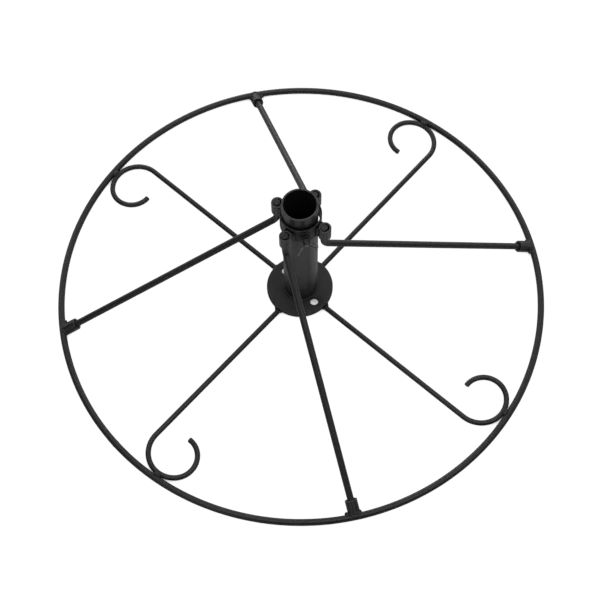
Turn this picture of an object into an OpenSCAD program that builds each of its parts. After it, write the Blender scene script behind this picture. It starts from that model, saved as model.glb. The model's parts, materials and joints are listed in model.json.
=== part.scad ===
// Wrought-iron style ground stand for a garden parasol.
// A floor ring carries four scrolled rods that meet under a flanged post. Four
// braces run from sockets on the ring up to lugs on a collar that sits round
// the post and is locked on it by a wing screw.
// Origin: on the floor, under the middle of the post. +Z up, millimetres.
// The first brace socket lies on +X and the wing screw points to -Y.

/* [Ground ring] */
// Diameter of the ring, measured to the middle of its bar
ring_d = 600; // [520:5:700]
// Diameter of the ring's bar
ring_bar = 8; // [6:0.5:10]

/* [Scroll rods] */
// Diameter of the scroll rods' bar
scroll_bar = 6.5; // [5:0.5:8]
// Angle from a brace socket to the next scroll rod
scroll_az = 37.3; // [34:0.1:40]
// Small turn of each scroll rod from its even place
scroll_trim = [0.5, 0, -0.1, 0]; // [-1:0.1:1]
// Radius of the first, wider arc of a curl
curl_r1 = 32; // [28:0.5:36]
// Radius of the second, tighter arc of a curl
curl_r2 = 26; // [22:0.5:27]
// Angle that the first arc turns through
curl_turn1 = 135; // [120:5:150]
// Angle that the second arc turns through
curl_turn2 = 140; // [110:5:150]

/* [Flange] */
// Diameter of the flange under the post
plate_d = 82.5; // [80:0.5:110]
// Thickness of the flange
plate_t = 5; // [4:0.5:8]
// How far the flange sits off the post's axis, in X and Y
plate_shift = [-1.4, -0.4]; // [-2:0.1:2]
// Diameter of the circle that the anchor holes lie on
anchor_pcd = 56; // [55:0.5:62]
// Diameter of an anchor hole
anchor_d = 10; // [7:0.5:10]
// Direction of the first anchor hole from +X
anchor_az = -61.5; // [-70:0.5:-58]

/* [Post] */
// Outer diameter of the post
post_od = 41.3; // [38:0.1:48.3]
// Wall of the post
post_wall = 2; // [2:0.1:3.2]
// Length of the post above the flange
post_len = 199.5; // [190:0.5:260]

/* [Collar] */
// Radial gap between the post and the collar
collar_gap = 1.65; // [0.5:0.05:2]
// Wall of the collar
collar_wall = 1.6; // [1.5:0.1:3]
// How far the loose collar sits off the post's axis, in X and Y
collar_shift = [0.8, -0.3]; // [-0.8:0.1:0.8]
// Height of the collar's lower edge above the floor
collar_z = 168.5; // [162:0.5:172]
// Height of the collar
collar_h = 24; // [22:0.5:28]

/* [Braces] */
// Diameter of the braces' bar
brace_bar = 8; // [7:0.5:8.5]
// Small turn of each socket from its even place
socket_trim = [0, 0.7, -0.5, 0.6]; // [-1:0.1:1]
// Small turn of each lug from its even place
lug_trim = [0.5, -0.5, -2, -2]; // [-3:0.5:3]
// Outer diameter of the lug and socket tubes
tube_od = 14.5; // [13:0.1:15]
// Inner diameter of the lug and socket tubes
tube_id = 10; // [9.5:0.1:11]
// Height of a lug
lug_h = 18.5; // [16:0.5:20]
// Length of a socket
socket_len = 18.5; // [16:0.5:20]
// Distance from a socket's mouth out to the middle of the ring's bar
mouth_in = 19; // [18:0.5:22]
// Height of the middle of a socket's mouth above the floor
mouth_z = 11; // [11:0.5:13]
// Angle from a brace's socket back to its lug
lug_az = -42; // [-46:0.5:-40]
// Bend radius of a brace under its lug
brace_bend = 12; // [11:0.5:16]
// Slope of a brace's straight part
brace_slope = 28.5; // [26:0.5:29]

/* [Wing screw] */
// Thread diameter of the clamp screw
screw_d = 6; // [5:1:8]
// Length of the screw below its head
screw_len = 10; // [10:1:12]
// Gap between the screw's tip and the post
screw_tip_gap = 0.3; // [0.2:0.05:0.6]
// Width of the clamp nut across its flats
nut_af = 10; // [10:0.5:13]
// Thickness of the clamp nut
nut_t = 5; // [4:0.5:6]
// Distance between the outer edges of the two wings
wing_span = 26; // [24:0.5:30]
// Turn of the wings from level
wing_roll = 28; // [0:1:90]

/* [Hidden] */
$fn = 64;

arms = 4;
arm_step = 360 / arms;
coat = [0.15, 0.15, 0.148];
coat_light = [0.22, 0.22, 0.215];
cut = 1;             // how far a cutting body runs past the face it cuts
touch = 0.1;         // gap left where a curved face leans on another

ring_r = ring_d / 2;
ring_z = ring_bar / 2;
scroll_z = scroll_bar / 2;

// A curl's first arc leans on the inside of the ring, which fixes how far out
// the straight part of the rod runs.
lean = ring_bar / 2 + scroll_bar / 2 + touch;
lean_plan = sqrt(lean * lean - pow(ring_z - scroll_z, 2));
curl_reach = ring_r - lean_plan - curl_r1;
scroll_len = sqrt(curl_reach * curl_reach - curl_r1 * curl_r1);
curl_touch_az = atan2(curl_r1, scroll_len);

plate_z = scroll_bar;
plate_overlap = 7;   // length of a scroll rod that lies under the flange
scroll_start = plate_d / 2 - plate_overlap;
post_z = plate_z + plate_t;
post_r = post_od / 2;
post_leg = 2.5;      // leg of the weld round the foot of the post

collar_ir = post_r + collar_gap;
collar_or = collar_ir + collar_wall;
tube_r = tube_od / 2;
lug_r = collar_or + tube_r + touch / 2;

// A brace hangs in the upright plane through its lug and its socket's mouth.
// Its slope fixes how far below the lug its bend is.
mouth_r = ring_r - mouth_in;
brace_turn = 90 - brace_slope;
brace_tangent = brace_bend * tan(brace_turn / 2);
pin_top = collar_z + lug_h + 0.5;
brace_in = 11;       // length of a brace that is inside its socket

// Lug i's axis, seen from the frame of its brace's socket.
function lug_turn(i) = lug_az + lug_trim[i] - socket_trim[i];
function lug_xy(i) = lug_r * [cos(lug_turn(i)), sin(lug_turn(i))];
function brace_run(i) = [mouth_r, 0] - lug_xy(i);
function brace_dir(i) = atan2(brace_run(i).y, brace_run(i).x);
function brace_span(i) = norm(brace_run(i));
function bend_z(i) = mouth_z + brace_span(i) * tan(brace_slope) + brace_tangent;
function brace_line(i) = brace_span(i) / cos(brace_slope) - brace_tangent + brace_in;

floor_gap = 0.3;     // from the trimmed underside of a socket to the floor

screw_z = collar_z + 13;
screw_r = screw_d / 2;
screw_tip_y = post_r + screw_tip_gap;
head_y = screw_tip_y + screw_len;
head_r = 4.2;
head_len = 5.5;
head_bore_gap = 0.1;
head_bore_len = 4;
nut_y = collar_or + 0.5;
nut_hole_gap = 0.25;
wing_t = 2.8;
wing_root_r = 1.8;
wing_lobe_r = 2.1;
wing_lobe_y = 11.4;  // from the head's inner face to the middle of a lobe

// ---------- shared shapes ----------

// A round bar of radius r and length l along +Z.
module bar(r, l) {
    cylinder(r = r, h = l);
}

// Part of a torus in the XY plane, from angle 0 up to turn.
module bent_bar(bend_r, r, turn) {
    rotate_extrude(angle = turn, $fn = 96)
        translate([bend_r, 0]) circle(r = r, $fn = 32);
}

module tube(r_out, r_in, h) {
    difference() {
        cylinder(r = r_out, h = h);
        translate([0, 0, -cut]) cylinder(r = r_in, h = h + 2 * cut);
    }
}

// Puts its children on the floor frame of arm i, counted round from +X.
module on_arm(i) {
    rotate([0, 0, i * arm_step]) children();
}

// Puts its children on scroll rod i's line: local X runs out along the rod.
module on_scroll(i) {
    on_arm(i) rotate([0, 0, scroll_az + scroll_trim[i]]) children();
}

// Puts its children on the floor frame of socket i: local X runs out to it.
module on_socket(i) {
    on_arm(i) rotate([0, 0, socket_trim[i]]) children();
}

// Puts its children on the collar's own axis.
module on_collar() {
    translate(collar_shift) children();
}

// Puts its children at the foot of lug i.
module on_lug(i) {
    on_collar() on_arm(i) rotate([0, 0, lug_az + lug_trim[i]])
        translate([lug_r, 0, collar_z]) children();
}

// Puts its children at the screw's axis: local +Z points outwards, along -Y.
module on_screw_axis(y) {
    on_collar() translate([0, -y, screw_z]) rotate([90, 0, 0]) children();
}

// ---------- ground ring and scroll rods ----------

module ring_solid(grow = 0) {
    translate([0, 0, ring_z])
        rotate_extrude($fn = 180)
            translate([ring_r, 0]) circle(r = ring_bar / 2 + grow, $fn = 32);
}

module ground_ring() {
    color(coat) ring_solid();
}

module scroll_solid(i, grow = 0) {
    r = scroll_bar / 2 + grow;
    on_scroll(i) translate([0, 0, scroll_z]) {
        translate([scroll_start, 0, 0]) rotate([0, 90, 0])
            bar(r, scroll_len - scroll_start);
        translate([scroll_len, curl_r1, 0]) {
            rotate([0, 0, -90]) bent_bar(curl_r1, r, curl_turn1);
            rotate([0, 0, curl_turn1 - 90]) translate([curl_r1 - curl_r2, 0, 0])
                bent_bar(curl_r2, r, curl_turn2);
        }
    }
}

module scroll_rod(i) {
    color(coat) scroll_solid(i);
}

// A bead on top of each place where a curl leans on the ring. It stays above
// the narrow part of the gap between the two bars.
module curl_welds() {
    bead_r = 5;
    bead_at = ring_r - ring_bar / 2;
    bead_floor = ring_z + 1;
    color(coat_light) for (i = [0 : arms - 1]) difference() {
        on_scroll(i) rotate([0, 0, curl_touch_az])
            translate([bead_at, 0, bead_floor]) sphere(r = bead_r, $fn = 32);
        ring_solid();
        scroll_solid(i);
        cylinder(r = ring_r + ring_bar, h = bead_floor);
    }
}

// ---------- flange and post ----------

// The flange before its holes are drilled.
module plate_disc() {
    translate([plate_shift.x, plate_shift.y, plate_z])
        cylinder(d = plate_d, h = plate_t, $fn = 96);
}

module plate_solid() {
    difference() {
        plate_disc();
        translate(plate_shift) for (side = [0, 180]) rotate([0, 0, anchor_az + side])
            translate([anchor_pcd / 2, 0, plate_z - cut])
                cylinder(d = anchor_d, h = plate_t + 2 * cut);
    }
}

module base_plate() {
    color(coat) plate_solid();
}

// How far out from the post's axis the flange's edge crosses scroll rod i.
function plate_edge(i) = let (az = i * arm_step + scroll_az + scroll_trim[i])
    plate_d / 2 + plate_shift * [cos(az), sin(az)];

// A bead over each scroll rod where it leaves the flange.
module plate_welds() {
    bead_r = 5;
    color(coat_light) for (i = [0 : arms - 1]) difference() {
        on_scroll(i) translate([plate_edge(i) + 1, 0, plate_z - 0.5])
            sphere(r = bead_r, $fn = 32);
        plate_disc();
        scroll_solid(i, touch / 2);
    }
}

module post_tube() {
    color(coat) translate([0, 0, post_z])
        tube(post_r, post_r - post_wall, post_len, $fn = 96);
}

// The fillet weld round the foot of the post.
module post_weld() {
    color(coat_light) translate([0, 0, post_z]) rotate_extrude($fn = 96)
        translate([post_r, 0]) polygon([
            [0, 0],
            [post_leg, 0],
            [post_leg * 0.55, post_leg * 0.55],
            [0, post_leg]
        ]);
}

// ---------- braces and their sockets ----------

// Puts its children in a brace's plane: local X runs outwards from the lug's
// axis, local Z is up from the floor, and the brace lies at local Y = 0.
module brace_plane(i) {
    on_socket(i) translate(lug_xy(i)) rotate([0, 0, brace_dir(i)]) children();
}

// Puts its children on a brace's sloping line: local Z runs down it and out
// from the socket's mouth.
module socket_line(i) {
    brace_plane(i) translate([brace_span(i), 0, mouth_z])
        rotate([0, brace_slope + 90, 0]) children();
}

// The pin that stands in the lug, the bend under it and the long straight.
module brace(i) {
    r = brace_bar / 2;
    color(coat) brace_plane(i) translate([0, 0, bend_z(i)]) {
        bar(r, pin_top - bend_z(i));
        translate([brace_bend, 0, 0]) rotate([90, 0, 0]) rotate([0, 0, 180]) {
            bent_bar(brace_bend, r, brace_turn);
            rotate([0, 0, brace_turn]) translate([brace_bend, 0, 0])
                rotate([-90, 0, 0]) bar(r, brace_line(i));
        }
    }
}

// A socket leans on the inside and top of the ring: the ring is cut out of its
// end, and its underside is trimmed level just above the floor.
module socket_solid(i) {
    difference() {
        socket_line(i) tube(tube_r, tube_id / 2, socket_len);
        ring_solid(touch / 2);
        on_socket(i) translate([mouth_r, -tube_od, floor_gap - tube_od])
            cube([2 * mouth_in, 2 * tube_od, tube_od]);
    }
}

module socket(i) {
    color(coat) socket_solid(i);
}

// A bead on the ring at each side of every socket.
module socket_welds() {
    bead_r = 4.2;
    color(coat_light) for (i = [0 : arms - 1], side = [-1, 1]) difference() {
        on_socket(i) translate([ring_r - 3, side * (tube_r + 0.5), ring_bar - 2])
            sphere(r = bead_r, $fn = 32);
        ring_solid();
        socket_line(i) translate([0, 0, -cut])
            cylinder(r = tube_r, h = socket_len + 2 * tube_od);
    }
}

// ---------- collar ----------

module collar_ring() {
    color(coat) difference() {
        on_collar() translate([0, 0, collar_z])
            tube(collar_or, collar_ir, collar_h, $fn = 96);
        on_screw_axis(0) cylinder(r = screw_r + nut_hole_gap, h = collar_or + cut);
    }
}

module lug(i) {
    color(coat) on_lug(i) tube(tube_r, tube_id / 2, lug_h);
}

// Two upright beads fill the corners between each lug and the collar.
module lug_welds() {
    bead_r = 2.4;
    stand_off = 1.2;
    a = collar_or + stand_off;
    b = tube_r + stand_off;
    bead_az = acos((a * a + lug_r * lug_r - b * b) / (2 * a * lug_r));
    inset = 1.5;
    color(coat_light) for (i = [0 : arms - 1], side = [-1, 1]) difference() {
        on_collar() on_arm(i) rotate([0, 0, lug_az + lug_trim[i] + side * bead_az])
            translate([a, 0, collar_z + inset])
                cylinder(r = bead_r, h = lug_h - 2 * inset);
        on_collar() translate([0, 0, collar_z])
            cylinder(r = collar_or, h = collar_h, $fn = 96);
        on_lug(i) cylinder(r = tube_r, h = lug_h);
    }
}

module clamp_nut() {
    color(coat) on_screw_axis(nut_y) difference() {
        rotate([0, 0, 30]) cylinder(d = nut_af / cos(30), h = nut_t, $fn = 6);
        translate([0, 0, -cut])
            cylinder(r = screw_r + nut_hole_gap, h = nut_t + 2 * cut);
    }
}

// The bead that joins the clamp nut to the collar.
module nut_weld() {
    bead_r = 7.4;
    bead_h = 2;
    color(coat_light) difference() {
        on_screw_axis(collar_or - 1.5) cylinder(r = bead_r, h = bead_h + 1.5);
        on_collar() translate([0, 0, collar_z - cut])
            cylinder(r = collar_or, h = collar_h + 2 * cut, $fn = 96);
        on_screw_axis(nut_y)
            rotate([0, 0, 30]) cylinder(d = nut_af / cos(30), h = nut_t, $fn = 6);
        on_screw_axis(0) cylinder(r = screw_r + nut_hole_gap, h = head_y);
    }
}

// ---------- wing screw ----------

module clamp_screw() {
    color(coat_light) on_screw_axis(screw_tip_y)
        cylinder(r = screw_r, h = screw_len + head_bore_len - head_bore_gap);
}

// One wing, as an outline in local X and Z with the head's axis on Z.
module wing_outline() {
    hull() {
        translate([head_r * 0.4, head_len * 0.55]) circle(r = wing_root_r, $fn = 32);
        translate([wing_span / 2 - wing_lobe_r, wing_lobe_y])
            circle(r = wing_lobe_r, $fn = 32);
    }
}

module wing_head() {
    color(coat_light) on_screw_axis(head_y) rotate([0, 0, wing_roll]) difference() {
        union() {
            cylinder(r = head_r, h = head_len);
            for (side = [0, 1]) mirror([side, 0, 0])
                rotate([90, 0, 0]) translate([0, 0, -wing_t / 2])
                    linear_extrude(height = wing_t) wing_outline();
        }
        translate([0, 0, -cut])
            cylinder(r = screw_r + head_bore_gap, h = head_bore_len + cut);
    }
}

ground_ring();
scroll_rod(0);  // scroll_rod_1
scroll_rod(1);  // scroll_rod_2
scroll_rod(2);  // scroll_rod_3
scroll_rod(3);  // scroll_rod_4
base_plate();
post_tube();
post_weld();
plate_welds();
curl_welds();
socket(0);  // socket_1
socket(1);  // socket_2
socket(2);  // socket_3
socket(3);  // socket_4
socket_welds();
brace(0);  // brace_1
brace(1);  // brace_2
brace(2);  // brace_3
brace(3);  // brace_4
collar_ring();
lug(0);  // lug_1
lug(1);  // lug_2
lug(2);  // lug_3
lug(3);  // lug_4
lug_welds();
clamp_nut();
nut_weld();
clamp_screw();
wing_head();
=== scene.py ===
"""The looks of a parasol ground stand: bars, tubes, welds and a wing screw in black powder coat.

Every shape is in metres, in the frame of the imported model, and stands where that model's node stands.
The bars are swept, the tubes are turned, the flange is cut from its outline, and each weld is a rippled
bead laid along the joint that it closes.
"""

import json
import math

import bmesh
import bpy
from mathutils import Matrix, Vector, noise


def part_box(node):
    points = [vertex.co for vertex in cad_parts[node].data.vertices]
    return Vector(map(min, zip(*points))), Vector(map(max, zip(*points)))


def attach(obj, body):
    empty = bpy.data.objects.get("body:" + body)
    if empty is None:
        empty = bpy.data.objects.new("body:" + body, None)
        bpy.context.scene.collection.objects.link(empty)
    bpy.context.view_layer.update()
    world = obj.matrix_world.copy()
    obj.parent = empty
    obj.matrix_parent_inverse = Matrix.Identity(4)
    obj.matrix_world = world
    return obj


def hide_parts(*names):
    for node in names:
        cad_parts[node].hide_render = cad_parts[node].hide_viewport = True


MM = 0.001
UP = Vector((0, 0, 1))

ARMS = 4
ARM_STEP = math.tau / ARMS
RING_STEPS = 720  # round the ground ring
SHARP = math.radians(40)  # edges that bend by more than this stay sharp

# Scroll rods
SCROLL_AZ = math.radians(37.3)  # from a brace socket to the next scroll rod
SCROLL_TRIM = [math.radians(angle) for angle in (0.5, 0, -0.1, 0)]  # each rod's turn from its even place
CURL_R1, CURL_R2 = 32 * MM, 26 * MM
CURL_TURN1, CURL_TURN2 = math.radians(135), math.radians(140)
SCROLL_OVERLAP = 7 * MM  # length that lies under the flange
CURL_GAP = 0.1 * MM  # between a curl and the ring that it leans on

# Flange, post and collar
ANCHOR_AZ = math.radians(-61.5)
COLLAR_WALL = 1.6 * MM

# Braces, lugs and sockets
TUBE_BORE_R = 5 * MM
MOUTH_IN = 19 * MM  # from the middle of the ring's bar in to a socket's mouth
MOUTH_Z = 11 * MM
SOCKET_TRIM = [math.radians(angle) for angle in (0, 0.7, -0.5, 0.6)]  # each socket's turn from its even place
SOCKET_LEN = 18.5 * MM
BEAD_OUT = 0.6 * MM  # how far past the middle of the ring's bar a socket's weld bead runs
BEAD_LOW = 2.5 * MM  # height of the ends of that bead
BRACE_SLOPE = math.radians(28.5)
BRACE_BEND = 12 * MM
BRACE_IN = 11 * MM  # length of a brace that is inside its socket
FLOOR_GAP = 0.3 * MM  # between a socket and the floor

# Weld beads
BEAD_SIDES = 22
BEAD_ENDS = 1.1  # length over which an end tapers off, in half widths
BEAD_TIP = 0.04  # size of the very end, as a share of the bead's
BEAD_WAVER, WAVER_SIZE = 0.16, 4 * MM  # slow change of a bead's size along it
BEAD_GRAIN, GRAIN_SIZE = 0.09, 1.3 * MM  # fine roughness of its surface
RIPPLE_BOW = 0.75  # how far the middle of a ripple is ahead of its sides, in half widths
RIPPLE_RISE = 0.11  # how far a ripple stands out, as a share of the bead's size

# Wing screw
SCREW_PITCH = 1 * MM
THREAD_DEPTH = 0.55 * MM
NUT_BORE_R = 3.2 * MM
WING_ROLL = math.radians(28)
WEB_THICK = 1.7 * MM
RIM_R = 1.3 * MM  # of the bead that runs round a wing's edge
HEAD_R, HEAD_LEN = 4.2 * MM, 5.5 * MM
ROOT_R, ROOT = 1.8 * MM, Vector((1.7, 3.0)) * MM
LOBE_R, LOBE = 2.1 * MM, Vector((10.9, 11.4)) * MM
WING_ACROSS = Vector((ROOT.y - LOBE.y, LOBE.x - ROOT.x)).normalized()

# Camera: its place and its aim are both turned about the stand's axis by CAMERA_AZ
CAMERA_LENS = 70.81
CAMERA_AZ = math.radians(-10.5)
CAMERA_FROM = Vector((0, -655.48, 1333.98)) * MM
CAMERA_AIM = Vector((-1.31, -17.07, 4)) * MM
CAMERA_ROLL = math.radians(-0.845)

# Stage
FLOOR_BOUNCE = 0.8  # share of the light that the floor throws back
SHADOW_REACH = 30 * MM
SHADOW_DARK, SHADOW_CLEAR = 0.11, 0.26  # openness of the floor where it is darkest and where it is white
SHEET_HALF = 14  # half the side of the floor
ROOM_R = 13
LAMP_SIZE = 1.3
LAMP_AIM = Vector((0, 0, 0.05))
LOW_LAMPS = 2.4, 0.9  # reach from the stand's axis and height
HIGH_LAMPS = 1.5, 2.2
TOP_LAMP = 0.1, 2.7
# Lamp: place, azimuth in degrees, watts
LAMPS = {
    "top": (TOP_LAMP, 270, 9),
    "back": (LOW_LAMPS, 90, 16.5),
    "back_right": (LOW_LAMPS, 45, 8.5),
    "back_left": (LOW_LAMPS, 135, 5.5),
    "right": (LOW_LAMPS, 0, 4.5),
    "front_left": (LOW_LAMPS, 225, 2.5),
    "high_front_right": (HIGH_LAMPS, 315, 9),
    "high_back_right": (HIGH_LAMPS, 45, 5),
    "high_back_left": (HIGH_LAMPS, 135, 5.5),
    "high_front_left": (HIGH_LAMPS, 225, 5.5),
}


# ---------- the frame ----------


def node_size(node):
    """How long a node is along X, Y and Z."""
    low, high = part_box(node)
    return high - low


def node_middle(node):
    low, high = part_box(node)
    return (low + high) / 2


def node_levels(node):
    """The heights of a node's lowest and highest points."""
    low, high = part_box(node)
    return low.z, high.z


def node_reach(node):
    """How far out along -Y, the wing screw's side, a node starts and ends."""
    low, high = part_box(node)
    return -high.y, -low.y


def mount_sizes(name):
    """The sizes of one of the record's mounts, in millimetres."""
    return next(mount["dims"] for mount in frame["record"]["mounts"] if mount["name"] == name)


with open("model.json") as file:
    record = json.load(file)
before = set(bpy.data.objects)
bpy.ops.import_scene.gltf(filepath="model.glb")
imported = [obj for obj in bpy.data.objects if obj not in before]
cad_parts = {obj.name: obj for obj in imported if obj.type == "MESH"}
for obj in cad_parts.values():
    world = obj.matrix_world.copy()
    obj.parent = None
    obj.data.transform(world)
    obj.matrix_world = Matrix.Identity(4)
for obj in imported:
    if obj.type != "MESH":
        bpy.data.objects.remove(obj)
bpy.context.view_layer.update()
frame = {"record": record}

RING_BAR_R = node_size("ground_ring").z / 2
RING_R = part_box("ground_ring")[1].x - RING_BAR_R
SCROLL_BAR_R = node_size("scroll_rod_1").z / 2
FLANGE_R = node_size("base_plate").x / 2
FLANGE_LOW, FLANGE_TOP = node_levels("base_plate")
FLANGE_AT = Vector((*node_middle("base_plate").xy, 0))  # the disc sits a little off the post's axis
ANCHOR_PCR = mount_sizes("anchor_holes")["pcd_mm"] / 2 * MM
ANCHOR_R = mount_sizes("anchor_holes")["hole_r_mm"] * MM
POST_R = node_size("post_tube").x / 2
POST_BORE_R = mount_sizes("pole_bore")["r_mm"] * MM
POST_LOW, POST_TOP = node_levels("post_tube")
COLLAR_AT = node_middle("collar_ring")
COLLAR_FOOT = Vector((*COLLAR_AT.xy, 0))
COLLAR_R = node_size("collar_ring").x / 2
COLLAR_LOW, COLLAR_TOP = node_levels("collar_ring")
LUG_R = node_size("lug_1").x / 2
LUG_LOW, LUG_TOP = node_levels("lug_1")
PIN_TOP = node_levels("brace_1")[1]
NUT_BACK, NUT_FRONT = node_reach("clamp_nut")
NUT_AF = node_size("clamp_nut").z / 2 * math.sqrt(3)
SCREW_Z = node_middle("clamp_screw").z
SCREW_TIP, SCREW_END = node_reach("clamp_screw")
SCREW_R = node_size("clamp_screw").z / 2
HEAD_BACK = node_reach("wing_head")[0]
BRACE_R = 4 * MM

# A curl's first arc leans on the inside of the ring, which fixes the length of the rod's straight part.
LEAN = RING_BAR_R + SCROLL_BAR_R + CURL_GAP
LEAN_PLAN = math.sqrt(LEAN**2 - (RING_BAR_R - SCROLL_BAR_R) ** 2)
SCROLL_LEN = math.sqrt((RING_R - LEAN_PLAN - CURL_R1) ** 2 - CURL_R1**2)
CURL_TOUCH_AZ = math.atan2(CURL_R1, SCROLL_LEN)


# ---------- meshes ----------


class Skin:
    """A mesh that grows out of closed rings of points.

    Each point has a value from -1, where shade is painted on the coat, to 1, where the coat is scuffed; the
    scuffed tone also stands for highlights on rims and wing faces, so it is partly a painted highlight.
    """

    def __init__(self):
        self.points, self.faces, self.wear_and_painted_light = [], [], []

    def ring(self, points, wear_and_painted_light=0.0):
        """Adds one ring of points and returns their numbers."""
        start = len(self.points)
        self.points += [Vector(p) for p in points]
        self.wear_and_painted_light += [wear_and_painted_light] * len(points)
        return list(range(start, len(self.points)))

    def bridge(self, a, b):
        """Joins two rings of the same length with a band of faces."""
        n = len(a)
        self.faces += [(a[k], a[(k + 1) % n], b[(k + 1) % n], b[k]) for k in range(n)]

    def loft(self, rings, closed=False):
        """Bridges each ring to the next, and the last to the first if closed."""
        pairs = list(zip(rings, rings[1:], strict=False))
        for a, b in pairs + ([(rings[-1], rings[0])] if closed else []):
            self.bridge(a, b)

    def cap(self, ring, wear_and_painted_light=0.0, first=False):
        """Closes a loft's last ring, or its first, with a fan of triangles."""
        middle = sum((self.points[k] for k in ring), Vector()) / len(ring)
        centre = self.ring([middle], wear_and_painted_light)[0]
        order = ring[::-1] if first else ring
        n = len(ring)
        self.faces += [(order[k], order[(k + 1) % n], centre) for k in range(n)]

    def build(self, name, sharp=SHARP):
        mesh = bpy.data.meshes.new(name)
        mesh.from_pydata(self.points, [], self.faces)
        set_wear_and_painted_light(mesh, self.wear_and_painted_light)
        return finish_mesh(link(name, mesh), sharp)


def link(name, mesh):
    """A new object in the scene, made of that mesh."""
    obj = bpy.data.objects.new(name, mesh)
    bpy.context.scene.collection.objects.link(obj)
    return obj


def set_wear_and_painted_light(mesh, wear_and_painted_light):
    """Stores each point's value of scuffing and painted light and shade where the coat's material reads it.
    """
    layer = mesh.attributes.new("wear_and_painted_light", "FLOAT", "POINT")
    layer.data.foreach_set("value", wear_and_painted_light)


def finish_mesh(obj, sharp=SHARP):
    """Turns the faces outwards, shades them smooth and marks the true corners sharp."""
    bm = bmesh.new()
    bm.from_mesh(obj.data)
    bmesh.ops.recalc_face_normals(bm, faces=bm.faces)
    bm.to_mesh(obj.data)
    bm.free()
    obj.data.shade_smooth()
    obj.data.set_sharp_from_angle(angle=sharp)
    return obj


def apply_modifiers(obj):
    """Gives obj the mesh that its modifiers make, and takes them off."""
    bpy.context.view_layer.update()
    shown = obj.evaluated_get(bpy.context.evaluated_depsgraph_get())
    mesh = bpy.data.meshes.new_from_object(shown)
    obj.modifiers.clear()
    old, obj.data = obj.data, mesh
    bpy.data.meshes.remove(old)
    return obj


def boolean(obj, other, operation="DIFFERENCE"):
    """Cuts obj with other, or keeps what they share, and throws other away."""
    tool = obj.modifiers.new("cut", "BOOLEAN")
    tool.object, tool.operation, tool.solver = other, operation, "EXACT"
    apply_modifiers(obj)
    mesh = other.data
    bpy.data.objects.remove(other)
    bpy.data.meshes.remove(mesh)
    return finish_mesh(obj)


def turned(azimuth):
    """The rotation about +Z by azimuth."""
    return Matrix.Rotation(azimuth, 4, "Z")


def even_angles(count):
    """The angles of that many even steps round a full turn."""
    return [math.tau * k / count for k in range(count)]


def off_angle(angle, middle):
    """The signed angle from middle to angle, the short way round."""
    return (angle - middle + math.pi) % math.tau - math.pi


def polar(r, azimuth, z=0.0):
    """The point at that distance and direction from the Z axis, and at that height."""
    return Vector((r * math.cos(azimuth), r * math.sin(azimuth), z))


def circle(r, z, count):
    """Points round the Z axis, at that height."""
    return [polar(r, t, z) for t in even_angles(count)]


def scroll_place(i):
    """The frame of scroll rod i: its X axis runs out along the rod."""
    return turned(i * ARM_STEP + SCROLL_AZ + SCROLL_TRIM[i])


def socket_place(i):
    """The frame of socket i: its X axis runs out to the socket."""
    return turned(i * ARM_STEP + SOCKET_TRIM[i])


def lump(point, scale, seed):
    """Smooth noise from -1 to 1 at a point, with lumps of about that scale."""
    return noise.noise(point / scale + Vector((seed * 7.3, seed * 3.1, seed * 5.7)))


def round_ring(centre, across, up, r, sides):
    """Points on a circle that lies in the plane of two unit vectors."""
    return [centre + across * (r * math.cos(t)) + up * (r * math.sin(t)) for t in even_angles(sides)]


# ---------- bars and tubes ----------


def straight(start, end, step):
    """Points from start to end, about that step apart."""
    count = max(1, round((end - start).length / step))
    return [start.lerp(end, k / count) for k in range(count + 1)]


def arc(centre, radial, tangent, turn, step):
    """Points on an arc that starts at centre + radial and sets off along tangent."""
    count = max(2, round(radial.length * abs(turn) / step))
    ahead = tangent.normalized() * radial.length
    angles = [turn * k / count for k in range(count + 1)]
    return [centre + radial * math.cos(t) + ahead * math.sin(t) for t in angles]


def directions(path, closed):
    """The direction in which the path runs at each of its points."""
    n = len(path)
    if closed:
        return [(path[(k + 1) % n] - path[k - 1]).normalized() for k in range(n)]
    return [(path[min(k + 1, n - 1)] - path[max(k - 1, 0)]).normalized() for k in range(n)]


def bar(skin, path, normal, r, sides=28, closed=False, swell=None, seed=0):
    """Sweeps a round bar along a path that lies in the plane of that normal.

    Sawn ends get a small chamfer, and swell(point) is the share by which the bar is thicker there.
    """
    chamfer = 0.45 * MM
    unevenness, patch = 0.012, 9 * MM
    heading = directions(path, closed)

    def cross(k, radius, wear_and_painted_light=0.0, shift=0.0):
        across = heading[k].cross(normal).normalized()
        centre = path[k] + heading[k] * shift
        grown = radius * (1 + (swell(path[k]) if swell else 0))
        points = round_ring(centre, across, normal, grown, sides)
        points = [p + (p - centre) * (unevenness * lump(p, patch, seed)) for p in points]
        return skin.ring(points, wear_and_painted_light)

    if closed:
        skin.loft([cross(k, r) for k in range(len(path))], closed=True)
        return
    rings = [cross(0, r - chamfer, 0.9), cross(0, r, 0.8, chamfer), cross(0, r, 0.0, 3 * chamfer)]
    rings += [cross(k, r) for k in range(1, len(path) - 1)]
    rings += [cross(-1, r, 0.0, -3 * chamfer), cross(-1, r, 0.8, -chamfer), cross(-1, r - chamfer, 0.9)]
    skin.loft(rings)
    skin.cap(rings[0], 0.5, first=True)
    skin.cap(rings[-1], 0.5)


def lathe(skin, place, profile, steps=96, shape=None):
    """Turns a closed profile of (radius, height, scuffing and painted light) about the Z axis of place.

    shape(angle, r) may change the radius.
    """
    rings = []
    for r, z, wear_and_painted_light in profile:
        points = [place @ polar(shape(t, r) if shape else r, t, z) for t in even_angles(steps)]
        rings.append(skin.ring(points, wear_and_painted_light))
    skin.loft(rings, closed=True)


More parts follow.
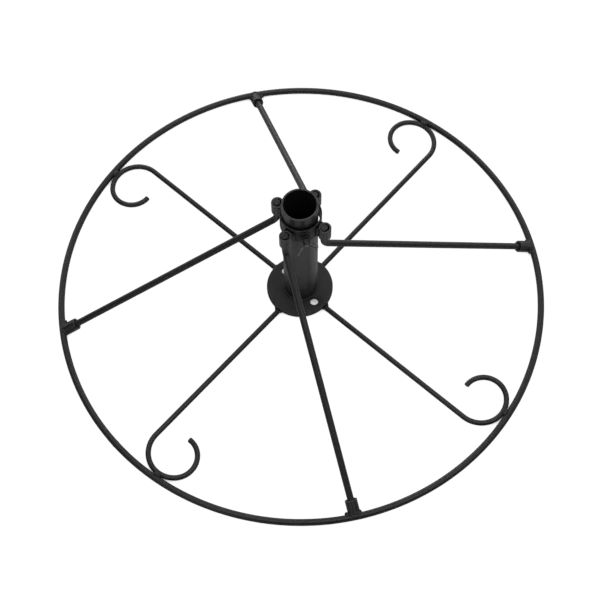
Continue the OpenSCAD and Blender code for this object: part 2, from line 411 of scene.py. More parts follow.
def tube_profile(r_out, r_in, low, high, rim, loops):
    """A tube's wall, going up the outside and down the inside, with rounded rims that are slightly scuffed
    and carry a painted highlight.
    """

    def corner(r, z, dr, dz):
        """Quarter round from the wall at (r, z + dz) to the end face at (r + dr, z)."""
        points = []
        for k in range(5):
            t = math.pi / 2 * k / 4
            # the rims are scuffed, and the lighter tone there also paints their highlight
            wear_and_painted_light = 0.35 + 0.65 * math.sin(2 * t)
            points.append((r + dr * (1 - math.cos(t)), z + dz * (1 - math.sin(t)), wear_and_painted_light))
        return points

    rise = [low + rim + (high - low - 2 * rim) * k / loops for k in range(1, loops)]
    near = 0.6 * MM
    up = corner(r_out, low, -rim, rim)[::-1] + [(r_out, low + rim + near, 0)]
    up += [(r_out, z, 0) for z in rise] + [(r_out, high - rim - near, 0)] + corner(r_out, high, -rim, -rim)
    down = corner(r_in, high, rim, -rim)[::-1] + [(r_in, high - rim - near, 0)]
    down += [(r_in, z, 0) for z in rise[::-1]] + [(r_in, low + rim + near, 0)] + corner(r_in, low, rim, rim)
    return up + down


# ---------- weld beads ----------


def bead(skin, path, normals, width, height, pitch, seed, closed=False):
    """Lays a rippled weld bead along path.

    normals point out of the joint, width and height are half sizes, and pitch is from ripple to ripple.
    """
    heading = directions(path, closed)
    along = [0.0]
    for a, b in zip(path, path[1:], strict=False):
        along.append(along[-1] + (b - a).length)
    rings = []
    for k, centre in enumerate(path):
        up = (normals[k] - heading[k] * normals[k].dot(heading[k])).normalized()
        across = heading[k].cross(up)
        ends = min(along[k], along[-1] - along[k]) / (BEAD_ENDS * width)
        taper = 1.0 if closed or ends >= 1 else math.sqrt(max(0.0, 1 - (1 - ends) ** 2))
        size = max(BEAD_TIP, taper) * (1 + BEAD_WAVER * lump(centre, WAVER_SIZE, seed))
        points = []
        for t in even_angles(BEAD_SIDES):
            side, rise = math.cos(t), math.sin(t)
            wave = (along[k] + RIPPLE_BOW * width * side * side) / pitch
            ripple = abs(math.sin(math.pi * wave)) ** 0.7
            outward = max(0.0, rise + 0.3)  # a ripple fades out where the bead goes into the joint
            grow = size * (0.93 + RIPPLE_RISE * ripple * outward)
            p = centre + across * (width * side * grow) + up * (height * rise * grow)
            p += (p - centre) * (BEAD_GRAIN * lump(p, GRAIN_SIZE, seed + 11))
            points.append(p)
        rings.append(skin.ring(points, 0.25))
    skin.loft(rings, closed=closed)
    if not closed:
        skin.cap(rings[0], 0.2, first=True)
        skin.cap(rings[-1], 0.2)


def blob(skin, centre, radius, squash, seed):
    """A round lump of weld metal, with its radius stretched along each axis by squash."""
    steps = 18
    rings = []
    for i in range(1, steps):
        lean = math.pi * i / steps
        points = []
        for t in even_angles(steps * 2):
            d = Vector((math.sin(lean) * math.cos(t), math.sin(lean) * math.sin(t), math.cos(lean)))
            grown = radius * (1 + BEAD_WAVER * lump(centre + d * radius, radius * 0.8, seed))
            points.append(centre + d * squash * grown)
        rings.append(skin.ring(points, 0.2))
    skin.loft(rings)
    skin.cap(rings[0], 0.2, first=True)
    skin.cap(rings[-1], 0.2)


# ---------- ring and scroll rods ----------


def ground_ring():
    """One hoop of round bar, with a small ground-down swelling where its two ends are welded together.

    The swelling stays above the floor.
    """
    seam, seam_reach, growth = math.radians(212), 2.6 * MM, 0.055

    def swell(point):
        off = off_angle(math.atan2(point.y, point.x), seam)
        return growth * math.exp(-((off * RING_R / seam_reach) ** 2))

    path = [p + UP * (RING_BAR_R * swell(p)) for p in circle(RING_R, RING_BAR_R, RING_STEPS)]
    skin = Skin()
    bar(skin, path, UP, RING_BAR_R, sides=32, closed=True, swell=swell, seed=1)
    return skin.build("ring_bar")


def scroll_path(i):
    """From under the flange straight out to the ring, then round the curl's two arcs."""
    start, end = Vector((FLANGE_R - SCROLL_OVERLAP, 0, 0)), Vector((SCROLL_LEN, 0, 0))
    straight_step, curl_step = 3 * MM, 1.5 * MM
    path = straight(start, end, straight_step)
    centre = Vector((SCROLL_LEN, CURL_R1, 0))
    path += arc(centre, Vector((0, -CURL_R1, 0)), Vector((1, 0, 0)), CURL_TURN1, curl_step)[1:]
    out = (path[-1] - centre).normalized()
    centre = path[-1] - out * CURL_R2
    path += arc(centre, out * CURL_R2, UP.cross(out), CURL_TURN2, curl_step)[1:]
    return [scroll_place(i) @ p + UP * SCROLL_BAR_R for p in path]


def scroll_rod(i):
    """A thinner round bar with a curl at its outer end."""
    skin = Skin()
    bar(skin, scroll_path(i), UP, SCROLL_BAR_R, sides=26, seed=10 + i)
    return skin.build(f"scroll_bar_{i + 1}")


def curl_welds():
    """A short fat bead on top of each place where a curl leans on the ring."""
    skin = Skin()
    half_length, steps = 5.2 * MM, 20
    reach, height = RING_R - RING_BAR_R - 0.4 * MM, 5.3 * MM
    offsets = [half_length * (k / steps - 1) for k in range(2 * steps + 1)]
    for i in range(ARMS):
        place = scroll_place(i) @ turned(CURL_TOUCH_AZ)
        path = [place @ Vector((reach, offset, height)) for offset in offsets]
        ups = [UP] * len(path)
        bead(skin, path, ups, width=3.9 * MM, height=3.3 * MM, pitch=1.9 * MM, seed=20 + i)
    return skin.build("curl_weld_beads")


# ---------- flange and post ----------


def flange_wear_and_painted_light(point):
    """Painted shade on the side face, scuffing with a painted highlight on the outer rims, and neither
    elsewhere.
    """
    side_face, rim = 0.3 * MM, 0.5 * MM
    off_edge = FLANGE_R - (point - FLANGE_AT).xy.length
    off_face = min(point.z - FLANGE_LOW, FLANGE_TOP - point.z)
    # painted shade: the flange's side face is darkened
    if off_edge < side_face < off_face:
        return -1.0
    return 0.5 if off_edge < rim else 0.0


def flange():
    """A cut disc with two anchor holes, its edges rounded by the coat."""
    outlines = [(FLANGE_AT, FLANGE_R, 160)]
    for side in (0, math.pi):
        hole = FLANGE_AT + turned(ANCHOR_AZ + side) @ Vector((ANCHOR_PCR, 0, 0))
        outlines.append((hole, ANCHOR_R, 48))
    bm = bmesh.new()
    edges = []
    for centre, r, count in outlines:
        ring = [bm.verts.new(centre + p) for p in circle(r, FLANGE_LOW, count)]
        edges += [bm.edges.new((ring[k], ring[(k + 1) % count])) for k in range(count)]
    bmesh.ops.triangle_fill(bm, use_beauty=True, edges=edges)
    grown = bmesh.ops.extrude_face_region(bm, geom=bm.faces[:])
    moved = [g for g in grown["geom"] if isinstance(g, bmesh.types.BMVert)]
    bmesh.ops.translate(bm, verts=moved, vec=UP * (FLANGE_TOP - FLANGE_LOW))
    bmesh.ops.recalc_face_normals(bm, faces=bm.faces)
    rims = [e for e in bm.edges if len(e.link_faces) == 2 and e.calc_face_angle() > 1]
    bmesh.ops.bevel(bm, geom=rims, offset=0.6 * MM, segments=3, profile=0.5, affect="EDGES")
    mesh = bpy.data.meshes.new("flange_disc")
    bm.to_mesh(mesh)
    bm.free()
    set_wear_and_painted_light(mesh, [flange_wear_and_painted_light(v.co) for v in mesh.vertices])
    return finish_mesh(link("flange_disc", mesh))


def post():
    """A pipe, open at the top, with its lengthwise seam inside."""
    seam, seam_rise, seam_reach = math.radians(70), 0.35 * MM, 0.05

    def shape(angle, r):
        if r > (POST_R + POST_BORE_R) / 2:
            return r
        return r - seam_rise * math.exp(-((off_angle(angle, seam) / seam_reach) ** 2))

    skin = Skin()
    profile = tube_profile(POST_R, POST_BORE_R, POST_LOW, POST_TOP, rim=0.55 * MM, loops=40)
    lathe(skin, Matrix.Identity(4), profile, steps=160, shape=shape)
    return skin.build("post_pipe")


def post_weld():
    """The fillet weld round the foot of the post."""
    count = 560
    path = circle(POST_R + 0.5 * MM, POST_LOW + 0.4 * MM, count)
    out_and_up = circle(1, 1, count)
    skin = Skin()
    bead(skin, path, out_and_up, width=1.8 * MM, height=1.1 * MM, pitch=2 * MM, seed=31, closed=True)
    return skin.build("post_foot_weld")


def flange_welds():
    """Where each scroll rod leaves the flange: a hollow bead at each side and a low lump on top."""
    skin = Skin()
    hollow, sunk = 2.6 * MM, 0.9 * MM
    for i in range(ARMS):
        place = scroll_place(i)
        edge = FLANGE_R + FLANGE_AT.dot(place @ Vector((1, 0, 0)))
        for side in (-1, 1):
            centre = Vector((edge + hollow, side * (SCROLL_BAR_R + hollow), FLANGE_LOW - 0.8 * MM))
            inward, sideways = Vector((-hollow - sunk, 0, 0)), Vector((0, -side, 0))
            path = [place @ p for p in arc(centre, inward, sideways, math.pi / 2, 0.4 * MM)]
            ups, seed = [UP] * len(path), 40 + 3 * i + side
            bead(skin, path, ups, width=1.5 * MM, height=1.7 * MM, pitch=2.2 * MM, seed=seed)
        crown = Vector((edge + 0.9 * MM, 0.3 * MM, 2 * SCROLL_BAR_R - 0.4 * MM))
        blob(skin, place @ crown, 2.1 * MM, Vector((1, 1, 0.7)), seed=40 + 3 * i)
    return skin.build("flange_weld_beads")


# ---------- braces and sockets ----------


def pin_at(i):
    """Where brace i's pin stands: the middle of its lug, were the loose collar centred on the post."""
    at = node_middle(f"lug_{i + 1}") - COLLAR_AT
    return Vector((at.x, at.y, 0))


def mouth_at(i):
    """The middle of socket i's mouth, where the brace goes in."""
    return socket_place(i) @ Vector((RING_R - MOUTH_IN, 0, MOUTH_Z))


def brace_run(i):
    """The brace's level direction, out from its lug to its socket, and its sloping direction."""
    level = mouth_at(i) - pin_at(i)
    level.z = 0
    level.normalize()
    return level, level * math.cos(BRACE_SLOPE) - UP * math.sin(BRACE_SLOPE)


def brace(i):
    """A pin that stands in the lug, the bend under it and the long straight down into the socket."""
    level, slope = brace_run(i)
    turn = math.pi / 2 - BRACE_SLOPE
    end = mouth_at(i) + slope * BRACE_IN
    span = (mouth_at(i) - pin_at(i)).xy.length
    tangent = BRACE_BEND * math.tan(turn / 2)
    bend_z = MOUTH_Z + span * math.tan(BRACE_SLOPE) + tangent
    foot = pin_at(i) + UP * bend_z
    centre = foot + level * BRACE_BEND
    straight_step, bend_step = 3 * MM, 1 * MM
    path = straight(pin_at(i) + UP * PIN_TOP, foot, straight_step)
    path += arc(centre, -level * BRACE_BEND, -UP, turn, bend_step)[1:]
    path += straight(path[-1], end, straight_step)[1:]
    skin = Skin()
    bar(skin, path, level.cross(UP), BRACE_R, seed=50 + i)
    return skin.build(f"brace_bar_{i + 1}")


def along_axis(origin, direction):
    """The place whose Z axis starts at origin and points along direction."""
    return Matrix.Translation(origin) @ direction.to_track_quat("Z", "Y").to_matrix().to_4x4()


def ring_cutter():
    """A stretch of the ring round the X axis, to cut a socket's end with."""
    skin = Skin()
    path = [polar(RING_R, math.tau * k / RING_STEPS, RING_BAR_R) for k in range(-45, 46)]
    bar(skin, path, UP, RING_BAR_R, sides=48)
    return skin.build("ring_cutter")


def block(name, low, high):
    """A box between two corners, to cut with."""
    bm = bmesh.new()
    bmesh.ops.create_cube(bm, size=1)
    size = high - low
    bmesh.ops.scale(bm, vec=size, verts=bm.verts)
    bmesh.ops.translate(bm, vec=(low + high) / 2, verts=bm.verts)
    mesh = bpy.data.meshes.new(name)
    bm.to_mesh(mesh)
    bm.free()
    return link(name, mesh)


def socket(i):
    """A short tube along the brace's line, cut to lie on the ring and trimmed level just above the floor."""
    skin = Skin()
    profile = tube_profile(LUG_R, TUBE_BORE_R, 0, SOCKET_LEN, rim=0.45 * MM, loops=10)
    lathe(skin, along_axis(mouth_at(i), brace_run(i)[1]), profile, steps=72)
    tube = skin.build(f"socket_tube_{i + 1}")
    cutter = ring_cutter()
    cutter.data.transform(socket_place(i))
    boolean(tube, cutter)
    reach = Vector((RING_R * 1.2, RING_R * 1.2, 0))
    return boolean(tube, block("floor_cutter", -reach - UP * 20 * MM, reach + UP * FLOOR_GAP))


def saddle(i, lean):
    """Where the socket's outer surface meets the ring, at an angle round the socket from its top.

    The point comes with the directions out of the socket and back along it. It is None where they
    don't meet.
    """
    slope = brace_run(i)[1]
    side = slope.cross(UP).normalized()
    top = side.cross(slope).normalized()
    out = top * math.cos(lean) + side * math.sin(lean)
    start = mouth_at(i) + out * LUG_R
    steps, close = 400, 0.3 * MM
    for k in range(steps):
        p = start + slope * (SOCKET_LEN * 1.5 * k / steps)
        from_bar = math.hypot(p.xy.length - RING_R, p.z - RING_BAR_R)
        if from_bar < RING_BAR_R + close or p.xy.length > RING_R + BEAD_OUT:
            return p, out, -slope
    return None


def socket_welds():
    """A bead along the saddle where each socket meets the ring, with a lump at each side."""
    skin = Skin()
    lump_out, lump_aside, lump_up = RING_R - 4.2 * MM, LUG_R + 0.2 * MM, RING_BAR_R + 0.8 * MM
    for i in range(ARMS):
        met = [saddle(i, math.radians(lean)) for lean in range(-100, 101, 2)]
        met = [found for found in met if found and found[0].z > BEAD_LOW]
        path = [point for point, _, _ in met]
        normals = [(out + back * 0.6).normalized() for _, out, back in met]
        bead(skin, path, normals, width=1.7 * MM, height=1.15 * MM, pitch=1.8 * MM, seed=60 + i)
        for side in (-1, 1):
            at = socket_place(i) @ Vector((lump_out, side * lump_aside, lump_up))
            blob(skin, at, 2.8 * MM, Vector((1, 1.1, 0.8)), seed=70 + 2 * i + side)
    return skin.build("socket_weld_beads")


# ---------- collar ----------


def collar():
    """A loose rolled sleeve with a hole for the screw."""
    skin = Skin()
    bore_r = COLLAR_R - COLLAR_WALL
    profile = tube_profile(COLLAR_R, bore_r, COLLAR_LOW, COLLAR_TOP, rim=0.4 * MM, loops=12)
    lathe(skin, Matrix.Translation(COLLAR_FOOT), profile, steps=144)
    sleeve = skin.build("collar_sleeve")
    drill = Skin()
    rings = []
    for y in (0, COLLAR_R + 2 * MM):
        centre = Vector((COLLAR_AT.x, COLLAR_AT.y - y, SCREW_Z))
        rings.append(drill.ring(round_ring(centre, Vector((1, 0, 0)), UP, NUT_BORE_R, 40)))
    drill.loft(rings)
    drill.cap(rings[0], first=True)
    drill.cap(rings[1])
    return boolean(sleeve, drill.build("screw_drill"))


def lug(i):
    """A short upright tube beside the collar, which a brace's pin stands in."""
    at = node_middle(f"lug_{i + 1}")
    skin = Skin()
    profile = tube_profile(LUG_R, TUBE_BORE_R, LUG_LOW, LUG_TOP, rim=0.5 * MM, loops=10)
    lathe(skin, Matrix.Translation(Vector((at.x, at.y, 0))), profile, steps=72)
    return skin.build(f"lug_tube_{i + 1}")


def lug_welds():
    """Two upright beads in the corners between each lug and the collar."""
    skin = Skin()
    inset, bead_r, stand_off = 1.2 * MM, 2.3 * MM, 1.0 * MM
    low, high, count = LUG_LOW + inset, LUG_TOP - inset, 60
    to_collar, to_lug = COLLAR_R + stand_off, LUG_R + stand_off
    for i in range(ARMS):
        lug_at = node_middle(f"lug_{i + 1}") - COLLAR_AT
        reach = lug_at.xy.length
        azimuth = math.atan2(lug_at.y, lug_at.x)
        # The axes of the collar, the lug and a bead make a triangle, whose angle at the collar this is.
        off = math.acos((to_collar * to_collar + reach * reach - to_lug * to_lug) / (2 * to_collar * reach))
        for side in (-1, 1):
            out = polar(1, azimuth + side * off)
            foot = COLLAR_FOOT + out * to_collar
            path = [foot + UP * (low + (high - low) * k / count) for k in range(count + 1)]
            away = [(out + side * UP.cross(out) * 0.9).normalized()] * len(path)
            seed = 80 + 2 * i + side
            bead(skin, path, away, width=bead_r, height=bead_r * 0.85, pitch=1.8 * MM, seed=seed)
    return skin.build("lug_weld_beads")


# ---------- nut and wing screw ----------


def screw_place(y):
    """The place on the screw's axis, that far out from the collar's middle; its Z axis points outwards."""
    centre = Vector((COLLAR_AT.x, COLLAR_AT.y - y, SCREW_Z))
    return Matrix.Translation(centre) @ Matrix.Rotation(math.pi / 2, 4, "X")


def nut():
    """A chamfered hex nut with a plain bore."""
    thick = NUT_FRONT - NUT_BACK
    place = screw_place(NUT_BACK + COLLAR_AT.y)
    corner_r = NUT_AF / math.sqrt(3)
    skin = Skin()
    rings = []
    for z in (0, thick):
        corners = [place @ polar(corner_r, t + math.pi / 6, z) for t in even_angles(6)]
        rings.append(skin.ring(corners))
    skin.loft(rings)
    skin.cap(rings[0], first=True)
    skin.cap(rings[1])
    body = skin.build("hex_nut")
    flat_r, clear_r, sink = NUT_AF / 2 * 0.97, corner_r * 1.02, 0.5 * MM
    rise = (corner_r - flat_r) * math.tan(math.radians(30))
    barrel = Skin()
    profile = [(NUT_BORE_R, 0, 0), (flat_r, 0, 0), (clear_r, rise, 0.6), (clear_r, thick - rise, 0.6)]
    profile += [(flat_r, thick, 0.6), (NUT_BORE_R + sink, thick, 0.4), (NUT_BORE_R, thick - sink, 0)]
    lathe(barrel, place, profile, steps=96)
    return boolean(body, barrel.build("nut_barrel"), "INTERSECT")


def nut_weld():
    """The bead round the back of the nut, which follows the collar's curve."""
    skin = Skin()
    r = 6.1 * MM
    path, normals = [], []
    for t in even_angles(220):
        x, z = r * math.cos(t), r * math.sin(t)
        depth = math.sqrt(COLLAR_R**2 - x * x)
        path.append(Vector((COLLAR_AT.x + x, COLLAR_AT.y - depth, SCREW_Z + z)))
        normals.append(Vector((math.cos(t), -1.3, math.sin(t))).normalized())
    bead(skin, path, normals, width=1.5 * MM, height=1.1 * MM, pitch=1.5 * MM, seed=91, closed=True)
    return skin.build("nut_weld_bead")


def screw_shank():
    """The threaded shank, with a chamfered tip.

    It turns and travels with the wings, as the real screw does.
    """
    skin = Skin()
    place = screw_place(SCREW_TIP + COLLAR_AT.y)
    length = SCREW_END - SCREW_TIP
    sides, per_pitch = 48, 14
    groove, steepness, chamfer = 0.42, 1.25, 1.1 * MM
    count = round(length / SCREW_PITCH * per_pitch)
    rings = []
    for k in range(count + 1):
        z = length * k / count
        points = []
        for j, t in enumerate(even_angles(sides)):
            phase = (z / SCREW_PITCH - j / sides) % 1
            cut_in = max(0.0, 1 - abs(phase - 0.5) / groove)
            r = SCREW_R - THREAD_DEPTH * min(1.0, cut_in * steepness)
            r = min(r, SCREW_R - chamfer + z)
            points.append(place @ polar(r, t, z))
        rings.append(skin.ring(points, 0.3))
    skin.loft(rings)
    skin.cap(rings[0], 0.3, first=True)
    skin.cap(rings[-1])
    return skin.build("screw_shank", sharp=math.radians(60))


def wing_outline(inset):
    """One wing's outline, that far in from its edge: round its lobe and round its root, in local X and Z."""
    gap = LOBE - ROOT
    heading = math.atan2(gap.y, gap.x)
    lean = math.acos((ROOT_R - LOBE_R) / gap.length)
    points = []
    for centre, r, start, end in (
        (LOBE, LOBE_R - inset, heading - lean, heading + lean),
        (ROOT, ROOT_R - inset, heading + lean, heading - lean + math.tau),
    ):
        for k in range(25):
            t = start + (end - start) * k / 24
            points.append(centre + Vector((r * math.cos(t), r * math.sin(t))))
    return points


def wing_skin(skin, place, side):
    """A thin web with a round bead along its edge."""
    layers = []
    for y in (-0.5, 0.5):
        outline = wing_outline(RIM_R * 0.5)
        layers.append(skin.ring([place @ Vector((side * p.x, y * WEB_THICK, p.y)) for p in outline]))
    skin.loft(layers)
    skin.cap(layers[0], first=True)
    skin.cap(layers[-1])
    edge = [place @ Vector((side * p.x, 0, p.y)) for p in wing_outline(RIM_R)]
    bar(skin, edge, place.to_3x3() @ Vector((0, 1, 0)), RIM_R, sides=20, closed=True)


def hub_skin(skin, place):
    """The hub, whose outline is in shares of its radius and length."""
    outline = [(0.005, 0), (0.93, 0), (1, 0.09), (0.94, 0.6), (0.84, 0.86), (0.6, 1), (0.005, 1)]
    rings = []
    for out, rise in outline:
        rings.append(skin.ring([place @ p for p in circle(out * HEAD_R, rise * HEAD_LEN, 48)]))
    skin.loft(rings)
    skin.cap(rings[0], first=True)
    skin.cap(rings[-1])


def casting_wear_and_painted_light(point):
    """1, a painted highlight with some scuffing, on the wings' faces and the hub's crown, down to -1, painted
    shade, on the edges round them.
    """

    def fade(share, start, length):
        return 1 - 2 * min(1, max(0, share - start) / length)

    if point.xy.length < 1.05 * HEAD_R:
        return fade(point.xy.length / HEAD_R, 0.55, 0.35)
    off_line = abs(Vector((abs(point.x), point.z)).dot(WING_ACROSS) - ROOT.dot(WING_ACROSS))
    return fade(off_line / LOBE_R, 0.45, 0.4)


def wing_casting():
    """The cast head: a hub with two wings, melted together by a fine remesh."""
    place = screw_place(HEAD_BACK + COLLAR_AT.y) @ Matrix.Rotation(WING_ROLL, 4, "Z")
    skin = Skin()
    hub_skin(skin, place)
    for side in (-1, 1):
        wing_skin(skin, place, side)
    head = skin.build("wing_casting")
    melt = head.modifiers.new("melt", "REMESH")
    melt.mode, melt.voxel_size = "VOXEL", 0.16 * MM
    soften = head.modifiers.new("soften", "SMOOTH")
    soften.factor, soften.iterations = 0.5, 10
    apply_modifiers(head)
    back = place.inverted()
    set_wear_and_painted_light(head.data, [casting_wear_and_painted_light(back @ v.co) for v in head.data.vertices])
    return finish_mesh(head, math.radians(80))


# ---------- materials ----------


class Nodes:
    """Short names for building one material's nodes."""

    def __init__(self, material):
        material.use_nodes = True
        self.tree = material.node_tree
        self.shader = self.tree.nodes["Principled BSDF"]
        self.place = self.add("ShaderNodeTexCoord").outputs["Object"]

    def add(self, kind, **values):
        node = self.tree.nodes.new(kind)
        for name, value in values.items():
            setattr(node, name, value)
        return node

    def join(self, out, into):
        self.tree.links.new(out, into)

    def noise(self, scale, detail, roughness=0.5):
        """Noise fixed to the piece, with about that many lumps to a metre."""
        node = self.add("ShaderNodeTexNoise")
        self.join(self.place, node.inputs["Vector"])
        node.inputs["Scale"].default_value = scale
        node.inputs["Detail"].default_value = detail
        node.inputs["Roughness"].default_value = roughness
        return node.outputs["Fac"]

    def spread(self, value, low, high, to_low, to_high):
        """Maps the range from low to high on to the one from to_low to to_high, and holds its ends."""
        node = self.add("ShaderNodeMapRange")
        limits = {"From Min": low, "From Max": high, "To Min": to_low, "To Max": to_high}
        for name, limit in limits.items():
            node.inputs[name].default_value = limit
        self.join(value, node.inputs["Value"])
        return node.outputs["Result"]

    def maths(self, operation, a, b):
        """Works out two values, each a number or another node's output."""
        node = self.add("ShaderNodeMath", operation=operation)
        for socket_in, value in zip(node.inputs, (a, b), strict=False):
            if isinstance(value, (int, float)):
                socket_in.default_value = value
            else:
                self.join(value, socket_in)
        return node.outputs["Value"]

    def mix(self, factor, a, b):
        """Mixes two colours, through the Mix node's colour sockets."""
        colour_a, colour_b, colour_out = 6, 7, 2
        node = self.add("ShaderNodeMix", data_type="RGBA")
        self.join(factor, node.inputs["Factor"])
        for socket_in, value in ((node.inputs[colour_a], a), (node.inputs[colour_b], b)):
            if isinstance(value, tuple):
                socket_in.default_value = (*value, 1)
            else:
                self.join(value, socket_in)
        return node.outputs[colour_out]


def grey(level):
    """A near-neutral dark grey with a trace of warmth."""
    return level, level * 0.995, level * 0.95


def coat_material(name, tones, rough, shine, peel=1.0):
    """Satin powder coat, mottled between two near-black tones, with dust specks and orange peel.

    The third tone is where the coat is scuffed, and it also paints highlights on rims and wing faces. Where
    shade is painted, the coat is darker than the first tone.
    """
    dark, light, worn_and_painted_highlight = (grey(tone) for tone in tones)
    material = bpy.data.materials.new(name)
    n = Nodes(material)
    mottle = n.spread(n.noise(150, 3), 0.35, 0.65, 0, 1)
    tone = n.mix(mottle, dark, light)
    dust = n.spread(n.noise(4200, 1), 0.72, 0.8, 0, 0.15)
    tone = n.mix(dust, tone, tuple(c * 4 for c in light))
    wear_and_painted_light = n.add("ShaderNodeAttribute", attribute_name="wear_and_painted_light").outputs["Fac"]
    # painted shade, where the value is below zero
    painted_shade = n.spread(wear_and_painted_light, -1, 0, 1, 0)
    tone = n.mix(painted_shade, tone, tuple(c * 0.35 for c in dark))
    # scuffing, which also paints highlights on rims and wing faces
    scuffs = n.spread(n.noise(900, 4, 0.7), 0.42, 0.62, 0.1, 1)
    rubbed_and_painted_highlight = n.maths("MULTIPLY", n.spread(wear_and_painted_light, 0, 1, 0, 1), scuffs)
    n.join(n.mix(rubbed_and_painted_highlight, tone, worn_and_painted_highlight), n.shader.inputs["Base Color"])
    patchy = n.spread(n.noise(260, 3), 0.3, 0.7, rough - 0.03, rough + 0.04)
    polish = n.maths("MULTIPLY", rubbed_and_painted_highlight, 0.06)
    n.join(n.maths("SUBTRACT", patchy, polish), n.shader.inputs["Roughness"])
    fine_grain = n.maths("MULTIPLY", n.noise(3100, 2), 0.35)
    height = n.maths("ADD", n.noise(760, 2), fine_grain)
    bump = n.add("ShaderNodeBump")
    bump.inputs["Strength"].default_value = 1.0
    bump.inputs["Distance"].default_value = 0.022 * MM * peel
    n.join(height, bump.inputs["Height"])
    n.join(bump.outputs["Normal"], n.shader.inputs["Normal"])
    n.shader.inputs["Specular IOR Level"].default_value = shine
    return material


# ---------- stage ----------


def sheet(name, depth):
    """A level square far larger than the view, just under the stand, and the nodes of its plain material."""
    corners = [(x * SHEET_HALF, y * SHEET_HALF, 0) for x, y in ((-1, -1), (1, -1), (1, 1), (-1, 1))]
    mesh = bpy.data.meshes.new(name)
    mesh.from_pydata(corners, [], [(0, 1, 2, 3)])
    material = bpy.data.materials.new(name)
    mesh.materials.append(material)
    plane = link(name, mesh)
    plane.location.z = -depth
    return plane, Nodes(material)


def floor():
    """The floor that the camera sees, and just under it the one that bounces light back up.

    The first is overexposed to white, apart from soft shadows where the stand touches it.
    """
    seen, n = sheet("floor_seen", 0.05 * MM)
    seen.visible_glossy = seen.visible_diffuse = seen.visible_shadow = False
    contact = n.add("ShaderNodeAmbientOcclusion", samples=6)
    contact.inputs["Distance"].default_value = SHADOW_REACH
    n.shader.inputs["Base Color"].default_value = (0, 0, 0, 1)
    n.shader.inputs["Specular IOR Level"].default_value = 0
    n.shader.inputs["Emission Color"].default_value = (1, 1, 1, 1)
    glow = n.spread(contact.outputs["AO"], SHADOW_DARK, SHADOW_CLEAR, 0.02, 1.03)
    n.join(glow, n.shader.inputs["Emission Strength"])
    bounce, n = sheet("floor_bounce", 0.1 * MM)
    bounce.visible_camera = False
    n.shader.inputs["Base Color"].default_value = (*[FLOOR_BOUNCE] * 3, 1)
    n.shader.inputs["Specular IOR Level"].default_value = 0


def walls():
    """A white wall all round, far off, that only the camera sees."""
    skin = Skin()
    skin.bridge(*[skin.ring(circle(ROOM_R, height, 64)) for height in (-0.5, ROOM_R)])
    wall = skin.build("walls_seen")
    wall.visible_glossy = wall.visible_diffuse = wall.visible_shadow = False
    material = bpy.data.materials.new("walls_seen")
    wall.data.materials.append(material)
    n = Nodes(material)
    n.shader.inputs["Base Color"].default_value = (0, 0, 0, 1)
    n.shader.inputs["Emission Color"].default_value = (1, 1, 1, 1)
    n.shader.inputs["Emission Strength"].default_value = 1.0


def softbox(name, place, power):
    """A square area lamp that shines on the stand."""
    light = bpy.data.lights.new(name, "AREA")
    light.shape, light.size, light.energy = "SQUARE", LAMP_SIZE, power
    lamp = bpy.data.objects.new(name, light)
    bpy.context.scene.collection.objects.link(lamp)
    lamp.location = place
    lamp.rotation_euler = (LAMP_AIM - place).to_track_quat("-Z", "Y").to_euler()


def studio():
    """A dark room with square softboxes round the stand and over it; most of the light comes from behind."""
    world = bpy.data.worlds.new("studio")
    bpy.context.scene.world = world
    world.use_nodes = True
    world.node_tree.nodes["Background"].inputs["Color"].default_value = (0, 0, 0, 1)
    for name, ((reach, height), azimuth, power) in LAMPS.items():
        softbox(name, turned(math.radians(azimuth)) @ Vector((reach, 0, height)), power)
    bpy.context.scene.view_settings.view_transform = "Standard"


def camera():
    """The camera, high above the front of the stand and a little to the left."""
    data = bpy.data.cameras.new("camera")
    data.lens, data.sensor_width = CAMERA_LENS, 36
    data.clip_start, data.clip_end = 0.05, 60
    shooter = bpy.data.objects.new("camera", data)
    bpy.context.scene.collection.objects.link(shooter)
    place = turned(CAMERA_AZ)
    shooter.location = place @ CAMERA_FROM
    look = place @ (CAMERA_AIM - CAMERA_FROM)
    roll = Matrix.Rotation(CAMERA_ROLL, 4, "Z")
    shooter.rotation_euler = (look.to_track_quat("-Z", "Y").to_matrix().to_4x4() @ roll).to_euler()
    bpy.context.scene.camera = shooter


# ---------- the whole stand ----------


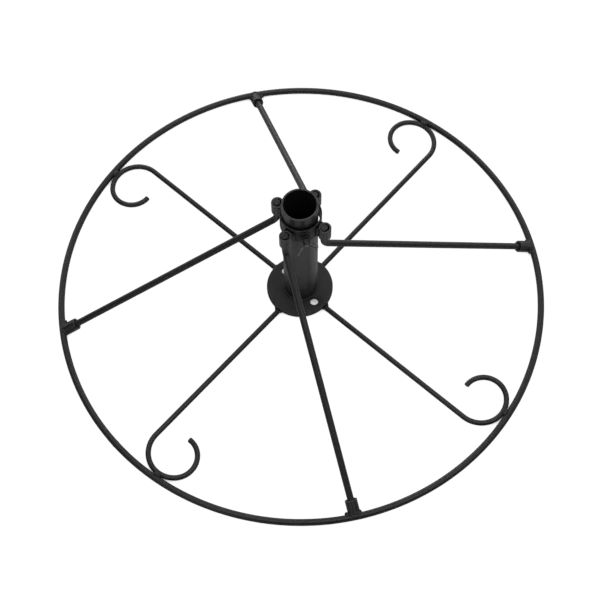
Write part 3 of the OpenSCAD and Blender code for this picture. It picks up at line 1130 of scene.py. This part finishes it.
def dress(piece, body, material, slot_name, *nodes):
    """Gives a piece its material and its body, and hides the nodes that it replaces; slot_name is not used.
    """
    piece.data.materials.clear()
    piece.data.materials.append(material)
    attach(piece, body)
    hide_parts(*nodes)


def build():
    """Every piece of the stand, in its coat."""
    # each coat's third tone is for scuffing and painted highlights
    bar_coat = coat_material("bar_coat", (0.016, 0.023, 0.08), rough=0.40, shine=0.55, peel=0.4)
    disc_coat = coat_material("disc_coat", (0.011, 0.016, 0.06), rough=0.42, shine=0.5)
    collar_coat = coat_material("collar_coat", (0.006, 0.010, 0.10), rough=0.45, shine=0.38)
    tube_coat = coat_material("tube_coat", (0.013, 0.019, 0.13), rough=0.40, shine=0.75)
    weld_coat = coat_material("weld_coat", (0.013, 0.020, 0.05), rough=0.42, shine=0.5, peel=1.6)
    screw_coat = coat_material("screw_coat", (0.046, 0.062, 0.30), rough=0.38, shine=0.6, peel=1.3)
    dress(ground_ring(), "stand", bar_coat, "powder_coat", "ground_ring")
    for i in range(ARMS):
        dress(scroll_rod(i), "stand", bar_coat, "powder_coat", f"scroll_rod_{i + 1}")
        dress(brace(i), "stand", bar_coat, "powder_coat", f"brace_{i + 1}")
        dress(socket(i), "stand", tube_coat, "powder_coat", f"socket_{i + 1}")
        dress(lug(i), "collar", tube_coat, "powder_coat", f"lug_{i + 1}")
    dress(flange(), "stand", disc_coat, "powder_coat", "base_plate")
    dress(post(), "stand", tube_coat, "powder_coat", "post_tube")
    dress(post_weld(), "stand", weld_coat, "weld_bead", "post_weld")
    dress(flange_welds(), "stand", weld_coat, "weld_bead", "plate_welds")
    dress(curl_welds(), "stand", weld_coat, "weld_bead", "curl_welds")
    dress(socket_welds(), "stand", weld_coat, "weld_bead", "socket_welds")
    dress(collar(), "collar", collar_coat, "powder_coat", "collar_ring")
    dress(lug_welds(), "collar", weld_coat, "weld_bead", "lug_welds")
    dress(nut(), "collar", collar_coat, "powder_coat", "clamp_nut")
    dress(nut_weld(), "collar", weld_coat, "weld_bead", "nut_weld")
    dress(screw_shank(), "wing", screw_coat, "screw_coat", "clamp_screw")
    dress(wing_casting(), "wing", screw_coat, "screw_coat", "wing_head")


camera()
floor()
walls()
studio()
build()
